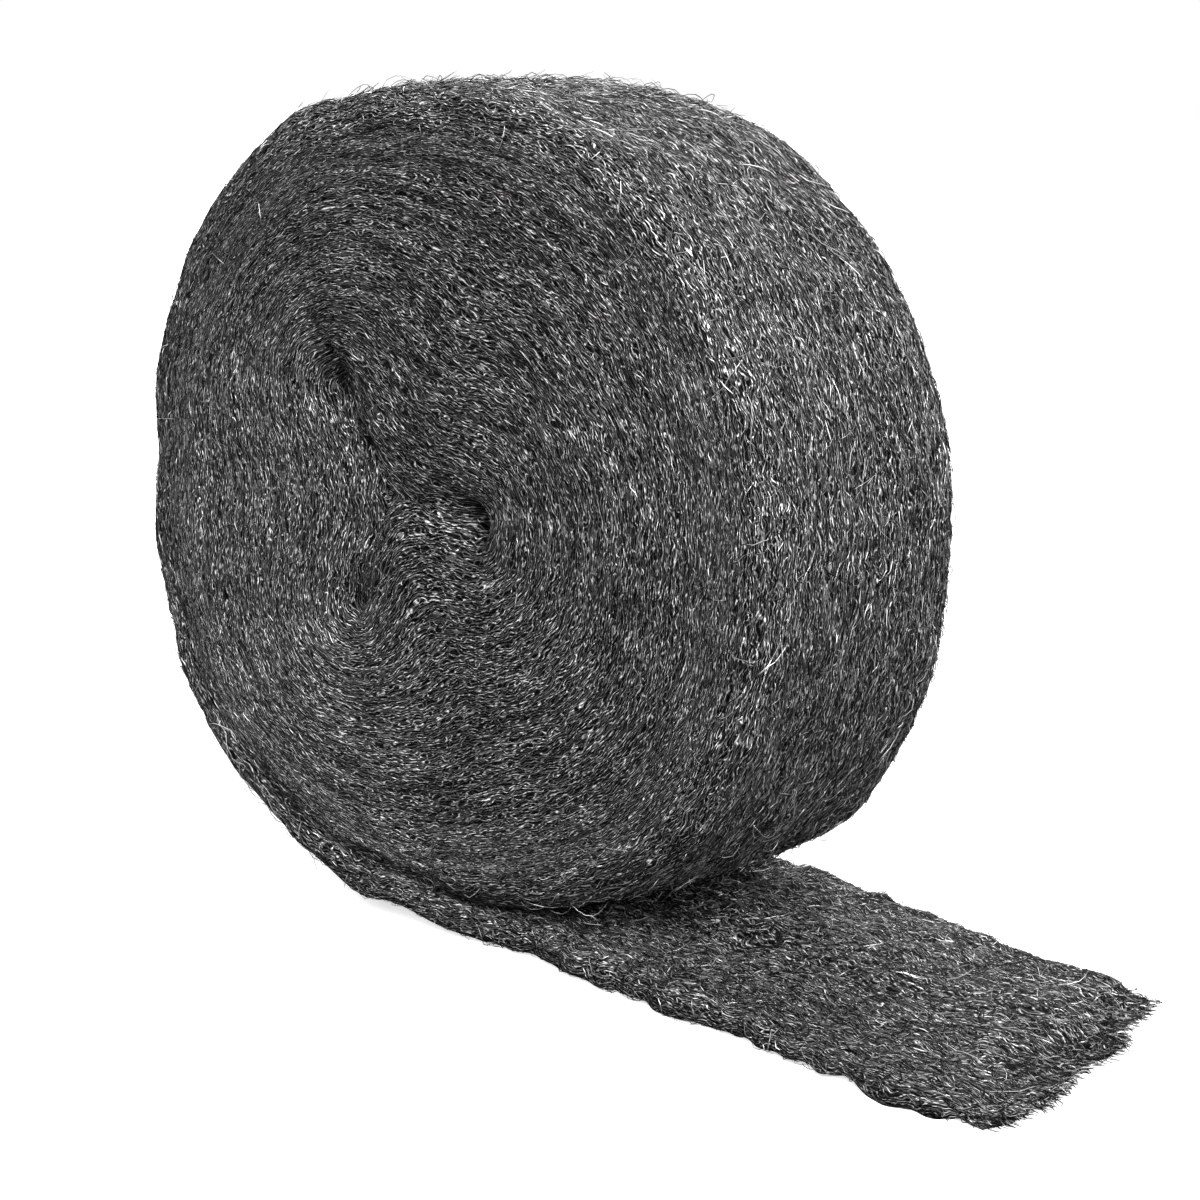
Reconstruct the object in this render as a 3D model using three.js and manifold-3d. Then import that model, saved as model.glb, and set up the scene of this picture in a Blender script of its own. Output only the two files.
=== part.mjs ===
// A roll of steel wool: one long strip of matted steel fibre, wound up by hand into a squat drum and left
// with its torn end lying out in front of it. The roll rests on a small flat spot of its last turn, and the
// loose tail runs away from under it along the floor.
//
// Millimetres, +Z up. The origin is on the floor under the roll's axis, Y is the roll's axis, and the tail
// points along +X. Seen from the front (-Y) the strip comes in along the tail, passes under the roll and
// climbs its left side.

import * as THREE from 'three';
import { mergeVertices } from 'three/addons/utils/BufferGeometryUtils.js';
import Module from 'manifold-3d';

// Driving dimensions.
const ROLL_RADIUS = 76.5; // to the outside of the last turn, where it leaves the floor
const ROLL_WIDTH = 64; // across the strip, from the front face to the back face
const TURN = 6; // thickness of one turn: the spiral loses this much radius in a turn
const FLAT_DROP = 1.6; // how far the roll has settled on to its flat spot
const FOOT_SWELL = 3.5; // how far the turns are pushed out just above that spot
const FOOT_SPREAD = 0.35; // radians round the roll

// The roll has sagged and been squeezed out of round. Each swell has so many lobes round the roll, stands
// so far out, and has a lobe in this direction, in degrees above +X as seen from the front.
const OUT_OF_ROUND = [
  { lobes: 2, swell: 2.3, toward: -66 },
  { lobes: 3, swell: 1.35, toward: -25 },
  { lobes: 4, swell: 1.4, toward: -44 },
  { lobes: 5, swell: 0.6, toward: 12 },
];

// It also sinks in here and stands out there: how far, in which direction and over how many radians.
const BULGES = [
  { toward: 92, swell: -2.6, spread: 0.38 },
  { toward: 188, swell: 2, spread: 0.5 },
];

// It was wound a little tighter at the front than at the back, and its turns have slid a little askew.
const TAPER = 3.2; // growth of the radius from the front face to the back face
const LEAN = new THREE.Vector2(1.5, -2.3); // shift of the back face from the front one, along X and up

// The rounding of the roll's two rims, and the slight swell of its tread between them.
const FRONT_RIM = 5.5;
const BACK_RIM = 14;
const TREAD_CROWN = 0.6;

// The last turn's front edge stands proud of the face low on the left, and comes level by LIP_FADE.
const LIP = 1.2;
const LIP_FADE = Math.PI * 0.5;
const LIP_GROOVE = 2;

// The hand-wound core has fallen in on itself: three folds meet at a hub and each ends in an open eye.
// Places are given from the roll's axis, along X and up.
const HUB = new THREE.Vector2(-14.5, 0.5);
const FOLD_ANGLES = [121, -8, -108].map(THREE.MathUtils.degToRad);
const FOLD_LENGTH = 22;
const FOLD_DEPTH = 1.8;
const FOLD_SPREAD = 4;
const EYE_DEPTH = 5;
const EYE_SPREAD = 4.5;
const DISH_DEPTH = 4;
const DISH_SPREAD = 30;

// The loose tail. It leaves the roll square and drifts to the front as it goes, and its front edge bellies
// out in the middle.
const TAIL_START = -10; // inside the roll, where the tail and the last turn are one
const TAIL_FRONT_REACH = 120; // along X to the torn end, at the front edge
const TAIL_BACK_REACH = 117; // and at the back edge
const TAIL_DRIFT = { by: -18, from: 20, to: 120 }; // along Y, between these two places along X
const TAIL_BELLY = { out: 3, middle: 48, spread: 40 }; // of the front edge, along X
const TORN_CORNER = { back: 4, width: 0.14 }; // the front corner of the torn end is rounded off
const TAIL_THICKNESS = 5.4;
const TORN_THICKNESS = 3; // the strip has been pulled thin where it tore
const TAIL_EDGE = 0.7; // height of the side edges, as a share of the thickness
const TAIL_TUCK = { front: 4, back: 12 }; // how far its start is drawn in from the two faces of the roll

// Steps of the mesh.
const ROUND_STEPS = 64;
const TAIL_STEPS = { along: 26, across: 10 };

// 1 at zero, falling smoothly to nothing a few spreads away.
const bell = (distance, spread) => Math.exp(-((distance / spread) ** 2));

// How far a clockwise walk, seen from the front, has come from the foot of the roll.
const turned = (angle) => (angle - Math.PI + 4 * Math.PI) % (2 * Math.PI);

// How far the roll stands out from a true spiral in a direction. The angle is from +Z towards +X.
function swell(angle) {
  const above = Math.PI / 2 - angle;
  const waves = OUT_OF_ROUND.reduce((sum, wave) => {
    const off = above - THREE.MathUtils.degToRad(wave.toward);
    return sum + wave.swell * Math.cos(wave.lobes * off);
  }, 0);
  return BULGES.reduce((sum, bulge) => {
    const off = THREE.MathUtils.euclideanModulo(
      above - THREE.MathUtils.degToRad(bulge.toward) + Math.PI,
      2 * Math.PI,
    ) - Math.PI;
    return sum + bulge.swell * bell(off, bulge.spread);
  }, waves);
}

// Depth of the fallen-in core below the level of the faces, at a place given from the roll's axis.
function coreDepth(place) {
  const reach = place.distanceTo(HUB);
  let fold = 0;
  let eye = 0;
  for (const angle of FOLD_ANGLES) {
    const along = new THREE.Vector2(Math.cos(angle), Math.sin(angle));
    const offset = place.clone().sub(HUB);
    const run = THREE.MathUtils.clamp(offset.dot(along), 0, FOLD_LENGTH);
    const tip = HUB.clone().addScaledVector(along, FOLD_LENGTH);
    const toFold = offset.addScaledVector(along, -run).length();
    fold = Math.max(fold, bell(toFold, FOLD_SPREAD));
    eye = Math.max(eye, bell(place.distanceTo(tip), EYE_SPREAD));
  }
  return DISH_DEPTH * bell(reach, DISH_SPREAD) + FOLD_DEPTH * fold + EYE_DEPTH * eye;
}

// Half of the roll's section through its axis, from the front pole round the rims to the back pole.
// Each point is (radius, distance along Y).
function rollProfile() {
  const half = ROLL_WIDTH / 2;
  const faceRings = [0, 4, 8, 12, 16, 20, 24, 28, 34, 41, 48, 55, 62];
  const arc = (rim, side, turn) => new THREE.Vector2(
    ROLL_RADIUS - rim + rim * Math.sin(turn),
    side * (half - rim + rim * Math.cos(turn)),
  );
  const arcTurns = [0, 0.2, 0.4, 0.6, 0.8, 1].map((share) => (share * Math.PI) / 2);
  const front = faceRings.map((radius) => new THREE.Vector2(radius, -half));
  const frontRim = arcTurns.map((turn) => arc(FRONT_RIM, -1, turn));
  const tread = [-0.6, -0.3, 0, 0.3, 0.6].map((share) => {
    const y = share * (half - BACK_RIM);
    return new THREE.Vector2(ROLL_RADIUS + TREAD_CROWN * (1 - share ** 2), y);
  });
  const backRim = arcTurns.map((turn) => arc(BACK_RIM, 1, turn)).reverse();
  const back = faceRings.map((radius) => new THREE.Vector2(radius, half)).reverse();
  return [...front, ...frontRim, ...tread, ...backRim, ...back];
}

// The wound body: a lathe turned about Y, then pulled off round into a spiral, let down on to its flat
// spot and pressed in at the core.
function woundBody() {
  const geometry = new THREE.LatheGeometry(rollProfile(), ROUND_STEPS);
  const position = geometry.getAttribute('position');
  const axisHeight = ROLL_RADIUS - FLAT_DROP;
  const innerFace = ROLL_RADIUS - 2 * TURN;
  const place = new THREE.Vector2();
  for (let i = 0; i < position.count; i += 1) {
    const lathed = new THREE.Vector3().fromBufferAttribute(position, i);
    const angle = Math.atan2(lathed.x, lathed.z);
    const radius = Math.hypot(lathed.x, lathed.z);
    const walk = turned(angle + 1e-6);
    const side = Math.sign(lathed.y);
    const back = lathed.y / ROLL_WIDTH;
    const foot = FOOT_SWELL * bell(Math.PI - Math.abs(angle), FOOT_SPREAD);
    const growth = swell(angle) + foot + TAPER * back - (TURN * walk) / (2 * Math.PI);
    const spiral = radius * (1 + growth / ROLL_RADIUS);
    // The rings of the mesh gather about the hub and spread to the roll's own axis at the rim.
    const gather = 1 - THREE.MathUtils.smoothstep(radius, 24, 66);
    place.set(spiral * Math.sin(angle), spiral * Math.cos(angle)).addScaledVector(HUB, gather);
    const onFace = 1 - THREE.MathUtils.smoothstep(radius, 50, ROLL_RADIUS - FRONT_RIM);
    let y = lathed.y - side * onFace * coreDepth(place);
    if (side < 0 && radius > innerFace) {
      const proud = 1 - THREE.MathUtils.smoothstep(walk, 0, LIP_FADE);
      const groove = bell(radius - (ROLL_RADIUS - TURN * 1.15), TURN / 4);
      const lip = THREE.MathUtils.smoothstep(radius, ROLL_RADIUS - TURN, ROLL_RADIUS - TURN / 2);
      y += proud * (LIP_GROOVE * groove - LIP * lip);
    }
    place.addScaledVector(LEAN, back);
    position.setXYZ(i, place.x, y, Math.max(0, place.y + axisHeight));
  }
  return geometry;
}

// The loose tail: a segmented slab drawn out along X, thinner towards its torn end, with soft side edges,
// a slight wander in both edges and an end torn off on the slant.
function looseTail() {
  const { along, across } = TAIL_STEPS;
  const geometry = new THREE.BoxGeometry(1, 1, 1, along, across, 1);
  const position = geometry.getAttribute('position');
  const half = ROLL_WIDTH / 2;
  for (let i = 0; i < position.count; i += 1) {
    const run = position.getX(i) + 0.5;
    const span = position.getY(i) + 0.5;
    const top = position.getZ(i) > 0;
    const tear = 2.5 * Math.sin(span * 13) + 1.5 * Math.sin(span * 29 + 1);
    const corner = TORN_CORNER.back * (1 - THREE.MathUtils.smoothstep(span, 0, TORN_CORNER.width));
    const reach = THREE.MathUtils.lerp(TAIL_FRONT_REACH, TAIL_BACK_REACH, span) + tear * run - corner;
    const x = THREE.MathUtils.lerp(TAIL_START, reach, run);
    const free = THREE.MathUtils.smoothstep(x, 0, 30);
    const wander = free * (0.8 * Math.sin(x * 0.11) + 0.5 * Math.sin(x * 0.27 + 2));
    const tuck = 1 - THREE.MathUtils.smoothstep(x, TAIL_START, 5);
    const waver = free * (0.8 + 0.8 * Math.sin(x * 0.15 + 4) - 1.5 * run ** 4);
    const belly = free * TAIL_BELLY.out * bell(x - TAIL_BELLY.middle, TAIL_BELLY.spread);
    const frontEdge = -half + TAIL_TUCK.front * tuck + wander - belly;
    const backEdge = half - TAIL_TUCK.back * tuck + waver;
    const drift = TAIL_DRIFT.by * THREE.MathUtils.smoothstep(x, TAIL_DRIFT.from, TAIL_DRIFT.to);
    const y = THREE.MathUtils.lerp(frontEdge, backEdge, span) + drift;
    const thickness = THREE.MathUtils.lerp(TAIL_THICKNESS, TORN_THICKNESS, run ** 2);
    const softEdge = 1 - (1 - TAIL_EDGE) * Math.abs(2 * span - 1) ** 6;
    const ripple = free * 0.4 * Math.sin(x * 0.2 + span * 5) * Math.sin(span * 9);
    const z = top ? (thickness + ripple) * softEdge : 0;
    position.setXYZ(i, x, y, z);
  }
  return geometry;
}

const wasm = await Module();
wasm.setup();

// A closed geometry as a solid, with the doubled vertices of its seams merged and the triangles that
// closed up at a pole left out.
function solidFrom(geometry) {
  geometry.deleteAttribute('normal');
  geometry.deleteAttribute('uv');
  const merged = mergeVertices(geometry, 1e-4);
  const corners = Array.from(merged.index.array);
  const kept = [];
  for (let i = 0; i < corners.length; i += 3) {
    const [a, b, c] = corners.slice(i, i + 3);
    if (a !== b && b !== c && c !== a) kept.push(a, b, c);
  }
  return new wasm.Manifold(new wasm.Mesh({
    numProp: 3,
    vertProperties: merged.getAttribute('position').array,
    triVerts: new Uint32Array(kept),
  }));
}

function geometryFrom(solid) {
  const mesh = solid.getMesh();
  const geometry = new THREE.BufferGeometry();
  geometry.setAttribute('position', new THREE.BufferAttribute(mesh.vertProperties, 3));
  geometry.setIndex(new THREE.BufferAttribute(mesh.triVerts, 1));
  geometry.computeVertexNormals();
  return geometry;
}

// The wound turns and the loose tail are one unbroken strip, so they are joined into one solid.
const steelWool = new THREE.MeshStandardMaterial({ color: 0x5b5c5e, roughness: 0.55, metalness: 0.9 });
const strip = geometryFrom(solidFrom(woundBody()).add(solidFrom(looseTail())));
const roll = new THREE.Mesh(strip, steelWool);
roll.name = 'steel_wool_roll';

const object = new THREE.Group();
object.add(roll);

export default object;
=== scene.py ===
"""The looks of a roll of steel wool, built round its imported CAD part.

One long strip of matted steel fibre is wound up by hand into a squat drum, and its torn end lies out in
front of it. The wound turns and the loose tail are closed bodies that stand for the CAD solid, and coats
of single strands, grown by Geometry Nodes, lie along the run of the fibre on both.

Shapes are worked out in millimetres, in the part's own frame: the floor is at Z = 0, the roll's axis is
parallel to Y above the origin, and the tail runs out along +X. A mesh gets its metres when it is made.
"""

import logging
import math
from dataclasses import dataclass
from enum import Enum, IntEnum

import bpy
import numpy as np
from mathutils import Matrix, Vector


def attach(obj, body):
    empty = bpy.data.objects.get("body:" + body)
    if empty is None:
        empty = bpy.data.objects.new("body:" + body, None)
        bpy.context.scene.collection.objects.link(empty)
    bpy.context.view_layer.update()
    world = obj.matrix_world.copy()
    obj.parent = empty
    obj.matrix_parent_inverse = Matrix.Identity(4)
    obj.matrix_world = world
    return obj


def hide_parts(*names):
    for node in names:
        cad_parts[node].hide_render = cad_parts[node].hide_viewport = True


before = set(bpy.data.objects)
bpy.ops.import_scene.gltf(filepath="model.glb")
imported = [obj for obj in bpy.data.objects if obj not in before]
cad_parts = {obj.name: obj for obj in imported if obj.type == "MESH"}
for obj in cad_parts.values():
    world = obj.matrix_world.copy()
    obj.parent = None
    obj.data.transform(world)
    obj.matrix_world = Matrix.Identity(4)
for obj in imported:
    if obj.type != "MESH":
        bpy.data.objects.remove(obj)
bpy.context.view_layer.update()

log = logging.getLogger("steel_wool")

MM = 0.001
BODY = "root"
CAD_NODE = "steel_wool_roll"
KEPT_ATTRIBUTES = ("material_index", "sharp_face")
TAU = 2 * math.pi
NEVER_ZERO = 1e-6

Array = np.ndarray
Span = tuple[float, float]
Triple = tuple[float, float, float]
Socket = bpy.types.NodeSocket
Object = bpy.types.Object


class Patch(Enum):
    """The parts of the surface that a coat of strands can be limited to."""

    FRONT = 0
    TREAD = 1
    BACK = 2
    TAIL = 3
    TORN = 4


def smoothstep(value: Array, low: float, high: float) -> Array:
    """Rises smoothly from 0 at low to 1 at high."""
    share = np.clip((value - low) / (high - low), 0.0, 1.0)
    return share * share * (3.0 - 2.0 * share)


def bell(distance: Array, spread: float) -> Array:
    """1 at no distance, falling smoothly to nothing a few spreads away."""
    return np.exp(-((distance / spread) ** 2))


def turned_from(angle: Array, middle: float) -> Array:
    """How far a direction is turned from another one, from -pi to pi."""
    return np.mod(angle - middle + math.pi, TAU) - math.pi


@dataclass(frozen=True)
class Sway:
    """A sine wave along one direction.

    Attributes:
        height: how far it sways.
        pace: radians to a unit of the place.
        start: its angle at place 0.
    """

    height: float
    pace: float
    start: float = 0.0

    def at(self, place: Array) -> Array:
        """The sway at some places."""
        return self.height * np.sin(place * self.pace + self.start)


@dataclass(frozen=True)
class Waves:
    """Seeded, smooth unevenness: plane waves in all directions, added up.

    Attributes:
        seed: picks the directions and offsets of the waves.
        length: their middling wavelength, in the unit of the places given.
        height: how strong the unevenness is.
        count: how many waves are added.
    """

    seed: int
    length: float
    height: float = 1.0
    count: int = 28
    length_spread: Span = (0.7, 1.5)

    def at(self, places: Array) -> Array:
        """The unevenness at some places.

        Args:
            places: one row for each place.

        Returns:
            One number for each place, seldom further from 0 than the height.
        """
        draw = np.random.default_rng(self.seed)
        heading = draw.normal(size=(self.count, places.shape[1]))
        heading /= np.linalg.norm(heading, axis=1, keepdims=True)
        pace = TAU / (self.length * draw.uniform(*self.length_spread, self.count))
        start = draw.uniform(0.0, TAU, self.count)
        total = np.sin(places @ (heading * pace[:, None]).T + start).sum(axis=1)
        return self.height * (total / math.sqrt(2 * self.count))


def add_object(name: str, data: bpy.types.ID) -> Object:
    """Adds an object to the scene, at the origin."""
    added = bpy.data.objects.new(name, data)
    bpy.context.scene.collection.objects.link(added)
    return added


@dataclass
class Surface:
    """A closed surface with what the strands and the finish need to know at each of its points.

    Attributes:
        points: places in millimetres.
        quads: corners of its four-sided faces.
        fans: corners of the triangles that close its ends.
        flow: the direction in which the fibre runs.
        grain: place along the fibre, in two numbers, and across it, for the finish.
        scatter: how unruly the fibre is.
        cover: how thickly strands grow, from 0 to 1.
        shade: how deep in a crease or hollow the point lies, from 0 to 1; the finish paints shade there by
            darkening its colour.
        patch: which Patch it belongs to.
    """

    points: Array
    quads: Array
    fans: Array
    flow: Array
    grain: Array
    scatter: Array
    cover: Array
    shade: Array
    patch: Array

    def normals(self) -> Array:
        """The outward direction at each point."""
        found = np.zeros_like(self.points)
        for corners, step in ((self.quads, 2), (self.fans, 1)):
            first = self.points[corners[:, step]] - self.points[corners[:, 0]]
            last = self.points[corners[:, -1]] - self.points[corners[:, 1 if step == 2 else 0]]
            across = np.cross(first, last)
            for corner in corners.T:
                np.add.at(found, corner, across)
        return found / np.maximum(np.linalg.norm(found, axis=1, keepdims=True), NEVER_ZERO)

    def raise_by(self, relief: Array) -> None:
        """Moves each point out along its normal.

        Args:
            relief: how far, in millimetres, for each point.
        """
        self.points = self.points + self.normals() * relief[:, None]
        self.points[:, 2] = np.maximum(self.points[:, 2], 0.0)

    def to_object(self, name: str) -> Object:
        """Makes the surface a mesh object at the origin.

        Args:
            name: the piece's name.

        Returns:
            The object, smooth shaded, with the point attributes on its mesh.
        """
        mesh = bpy.data.meshes.new(name)
        mesh.from_pydata((self.points * MM).tolist(), [], self.quads.tolist() + self.fans.tolist())
        mesh.shade_smooth()
        for title in ("flow", "grain"):
            values = getattr(self, title).astype(np.float32)
            mesh.attributes.new(title, "FLOAT_VECTOR", "POINT").data.foreach_set("vector", values.ravel())
        for title in ("scatter", "cover", "shade", "patch"):
            values = getattr(self, title).astype(np.float32)
            mesh.attributes.new(title, "FLOAT", "POINT").data.foreach_set("value", values)
        return add_object(name, mesh)


def ring_quads(rows: int, columns: int) -> Array:
    """Corners of the faces between closed rings of points, which are numbered ring by ring.

    Args:
        rows: how many rings there are.
        columns: how many points each has.

    Returns:
        Four point numbers for each face.
    """
    row, column = np.meshgrid(np.arange(rows - 1), np.arange(columns), indexing="ij")
    here = row * columns + column
    beside = row * columns + (column + 1) % columns
    return np.stack([here, beside, beside + columns, here + columns], axis=-1).reshape(-1, 4)


def end_fans(rows: int, columns: int) -> Array:
    """Corners of the triangles that close the first and last ring to one point each.

    The two points follow the rings' points, the first ring's one first.
    """
    near = np.arange(columns)
    far = (near + 1) % columns
    poles = rows * columns + np.zeros((2, columns), int) + np.array([[0], [1]])
    last = (rows - 1) * columns
    return np.concatenate(
        [np.stack([poles[0], far, near], axis=1), np.stack([poles[1], last + near, last + far], axis=1)]
    )


@dataclass(frozen=True)
class Eye:
    """An open eye in the fallen-in core: a hollow that is longer one way than the other.

    Attributes:
        place: its middle from the roll's axis, along X and up.
        long: half its length.
        wide: half its width.
        lean: the way it is long, in degrees above +X.
        depth: how deep it is.
    """

    place: Span
    long: float
    wide: float
    lean: float
    depth: float

    def hollow(self, x: Array, up: Array) -> Array:
        """1 at the middle of the eye, falling to 0 outside it."""
        turn = math.radians(self.lean)
        off_x, off_up = x - self.place[0], up - self.place[1]
        along = off_x * math.cos(turn) + off_up * math.sin(turn)
        across = off_up * math.cos(turn) - off_x * math.sin(turn)
        return np.exp(-((along / self.long) ** 2) - (across / self.wide) ** 2)


@dataclass(frozen=True)
class FootCurl:
    """The front edge of the strip, curled up a little where the roll stands on it, in millimetres."""

    height: float = 3.0
    place: float = -10.0
    spread: float = 11.0
    inner_edge: float = 8.0
    outer_edge: float = 32.0

    def rise(self, x: Array, y: Array) -> Array:
        """How far the strip is raised."""
        toward_front = smoothstep(-y, self.inner_edge, self.outer_edge)
        return self.height * bell(x - self.place, self.spread) * toward_front


@dataclass(frozen=True)
class WoundTurns:
    """The wound part of the roll: a drum pulled off round into a spiral and fallen in at the core.

    Sizes are in millimetres. Directions round the roll start at the top and go towards +X, and the walk
    round it starts at the foot and climbs the left side, seen from the front.
    """

    radius: float = 76.5
    width: float = 64.0
    turn: float = 6.0
    flat_drop: float = 1.6
    foot_swell: float = 3.5
    foot_spread: float = 0.35
    out_of_round: tuple[tuple[int, float, float], ...] = (
        (2, 2.3, -66.0),
        (3, 1.35, -25.0),
        (4, 1.4, -44.0),
        (5, 0.6, 12.0),
    )
    bulges: tuple[Triple, ...] = ((92.0, -2.6, 0.38), (188.0, 2.0, 0.5))
    taper: float = 3.2
    lean: Span = (1.5, -2.3)
    front_rim: float = 5.5
    back_rim: float = 14.0
    tread_crown: float = 0.6
    lip: float = 1.2
    lip_fade: float = math.pi / 2
    lip_groove: float = 2.0
    foot_curl: FootCurl = FootCurl()
    hub: Span = (-14.5, 0.5)
    fold_angles: tuple[float, ...] = (121.0, -8.0, -108.0)
    fold_length: float = 22.0
    fold_depth: float = 1.3
    fold_spread: float = 4.5
    fold_blend: float = 2.5
    crease_depth: float = 0.5
    crease_spread: float = 1.2
    eyes: tuple[Eye, ...] = (
        Eye((-26.0, 20.4), 7.0, 2.2, 105.0, 5.0),
        Eye((5.6, -2.0), 3.2, 2.4, 125.0, 6.5),
        Eye((-22.3, -21.5), 5.0, 1.8, 92.0, 3.0),
    )
    eye_depth: float = 2.0
    eye_spread: float = 5.5
    dish_depth: float = 4.0
    dish_spread: float = 30.0
    shoulder: float = 1.5
    shoulder_width: float = 13.0
    shoulder_angle: float = -1.35
    shoulder_spread: float = 1.0
    turns_shown: float = 11.0
    tread_coarse: float = 0.2
    lumps: tuple[Waves, ...] = (Waves(3, 26.0, 0.55), Waves(4, 11.0, 0.3))
    clumps: Waves = Waves(5, 1.0, 0.2, 40)
    clump_length: float = 9.0
    clump_width: float = 1.7
    winding_relief: float = 0.55
    winding_drift: Waves = Waves(6, 34.0, 0.18)
    winding_patches: Waves = Waves(7, 30.0, 0.6)
    winding_mean: float = 0.6
    winding_at_core: float = 0.35
    winding_fade: Span = (0.05, 0.35)
    gather_fade: Span = (24.0, 66.0)
    core_fade: float = 50.0
    curl_fade: Span = (2.0, 14.0)
    face_fade: float = 16.0
    groove_place: float = 1.15
    groove_spread: float = 1.5
    # The shade fields below set painted shade, darkening the finish: in the lip's groove, along the creases,
    # in the eyes, and in the wedge under the roll.
    groove_shade: float = 0.55
    crease_shade: float = 0.25
    crease_shade_spread: float = 1.6
    full_shade_depth: float = 8.0
    wedge_start: Span = (-4.0, 2.0)
    wedge_end: Span = (12.0, 34.0)
    wedge_top: Span = (5.0, 13.0)
    wedge_shade: float = 0.9
    tread_scatter: float = 1.1
    face_scatter: float = 0.7
    bare_crease: float = 0.7
    bare_foot: float = 0.8
    row_margin: float = 0.5
    seam_slack: float = 0.1
    pole_radius: float = 1.0
    face_rows: int = 60
    back_rows: int = 34
    rim_rows: int = 8
    back_rim_rows: int = 14
    tread_rows: int = 32
    columns: int = 288

    @property
    def axis_height(self) -> float:
        """Height of the roll's axis over the floor."""
        return self.radius - self.flat_drop

    def walk(self, angle: Array) -> Array:
        """How far the walk round the roll has come at a direction, in radians."""
        return np.mod(angle - math.pi + 2 * TAU, TAU)

    def growth(self, angle: Array, back: Array) -> Array:
        """How far the last turn stands out from the true circle.

        Args:
            angle: direction round the roll.
            back: place along the axis, from -0.5 at the front to 0.5 at the back.

        Returns:
            The growth of the radius in millimetres.
        """
        above = math.pi / 2 - angle
        total = self.taper * back - self.turn * self.walk(angle) / TAU
        total = total + self.foot_swell * bell(math.pi - np.abs(angle), self.foot_spread)
        for lobes, swell, toward in self.out_of_round:
            total = total + swell * np.cos(lobes * (above - math.radians(toward)))
        for toward, swell, spread in self.bulges:
            total = total + swell * bell(turned_from(above, math.radians(toward)), spread)
        return total

    def from_each_fold(self, x: Array, up: Array) -> Array:
        """Distance of each place to each of the three folds, one row for a fold."""
        found = []
        for degrees in self.fold_angles:
            along_x, along_up = math.cos(math.radians(degrees)), math.sin(math.radians(degrees))
            off_x, off_up = x - self.hub[0], up - self.hub[1]
            run = np.clip(off_x * along_x + off_up * along_up, 0.0, self.fold_length)
            found.append(np.hypot(off_x - run * along_x, off_up - run * along_up))
        return np.stack(found)

    def to_folds(self, x: Array, up: Array) -> Array:
        """Distance to the folds as the turns round them feel it: nothing at the hub, and rounded off."""
        nearness = np.exp(-self.from_each_fold(x, up) / self.fold_blend)
        return -self.fold_blend * np.log(nearness.mean(axis=0))

    def level(self, x: Array, up: Array) -> Array:
        """Which turn a place on a face belongs to, from 0 at the folds to 1 at the rim."""
        angle = np.arctan2(x, up)
        rim = self.radius + self.growth(angle, np.zeros_like(x)) + self.turn * self.walk(angle) / TAU
        inward = np.maximum(rim - np.hypot(x, up), 0.0)
        folds = self.to_folds(x, up)
        return folds / (folds + inward + NEVER_ZERO)

    def core_depth(self, x: Array, up: Array) -> Array:
        """Depth of the fallen-in core below the level of the faces."""
        folds = self.from_each_fold(x, up).min(axis=0)
        depth = self.dish_depth * bell(np.hypot(x - self.hub[0], up - self.hub[1]), self.dish_spread)
        depth += self.fold_depth * bell(folds, self.fold_spread)
        depth += self.crease_depth * bell(folds, self.crease_spread)
        eyes = np.zeros_like(x)
        for eye in self.eyes:
            reach = np.hypot(x - eye.place[0], up - eye.place[1])
            eyes = np.maximum(eyes, self.eye_depth * bell(reach, self.eye_spread))
            eyes = np.maximum(eyes, eye.depth * eye.hollow(x, up))
        return depth + eyes

    def profile(self) -> tuple[Array, Array]:
        """Half of the section through the axis, from the front pole round the rims to the back pole.

        Returns:
            The radius and the place along the axis of each ring.
        """
        half = self.width / 2
        edge, back_edge = self.radius - self.front_rim, self.radius - self.back_rim
        front_face = np.linspace(self.pole_radius, edge, self.face_rows, endpoint=False)
        back_face = np.linspace(self.pole_radius, back_edge, self.back_rows, endpoint=False)[::-1]
        rim_turn = np.linspace(0.0, math.pi / 2, self.rim_rows)
        back_turn = np.linspace(0.0, math.pi / 2, self.back_rim_rows)[::-1]
        share = np.linspace(-1.0, 1.0, self.tread_rows + 2)[1:-1]
        middle = (self.front_rim - self.back_rim) / 2
        reach = half - (self.front_rim + self.back_rim) / 2
        radius = [
            front_face,
            self.radius - self.front_rim * (1 - np.sin(rim_turn)),
            self.radius + self.tread_crown * (1 - share**2),
            self.radius - self.back_rim * (1 - np.sin(back_turn)),
            back_face,
        ]
        place = [
            np.full_like(front_face, -half),
            self.front_rim * (1 - np.cos(rim_turn)) - half,
            middle + reach * share,
            half - self.back_rim * (1 - np.cos(back_turn)),
            np.full_like(back_face, half),
        ]
        return np.concatenate(radius), np.concatenate(place)

    def surface(self) -> Surface:
        """Works out the whole surface of the wound turns."""
        ring_radius, ring_y = self.profile()
        rows = len(ring_radius)
        angle_step = TAU / self.columns
        ring_angle = np.arange(self.columns) * angle_step - math.pi + angle_step / 2
        radius = np.append(np.repeat(ring_radius, self.columns), [0.0, 0.0])
        lathed_y = np.append(np.repeat(ring_y, self.columns), [-self.width / 2, self.width / 2])
        angle = np.append(np.tile(ring_angle, rows), [0.0, 0.0])
        side = np.sign(lathed_y)
        back = lathed_y / self.width

        spiral = radius * (1 + self.growth(angle, back) / self.radius)
        gather = 1 - smoothstep(radius, *self.gather_fade)
        x = spiral * np.sin(angle) + self.hub[0] * gather
        up = spiral * np.cos(angle) + self.hub[1] * gather

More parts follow.
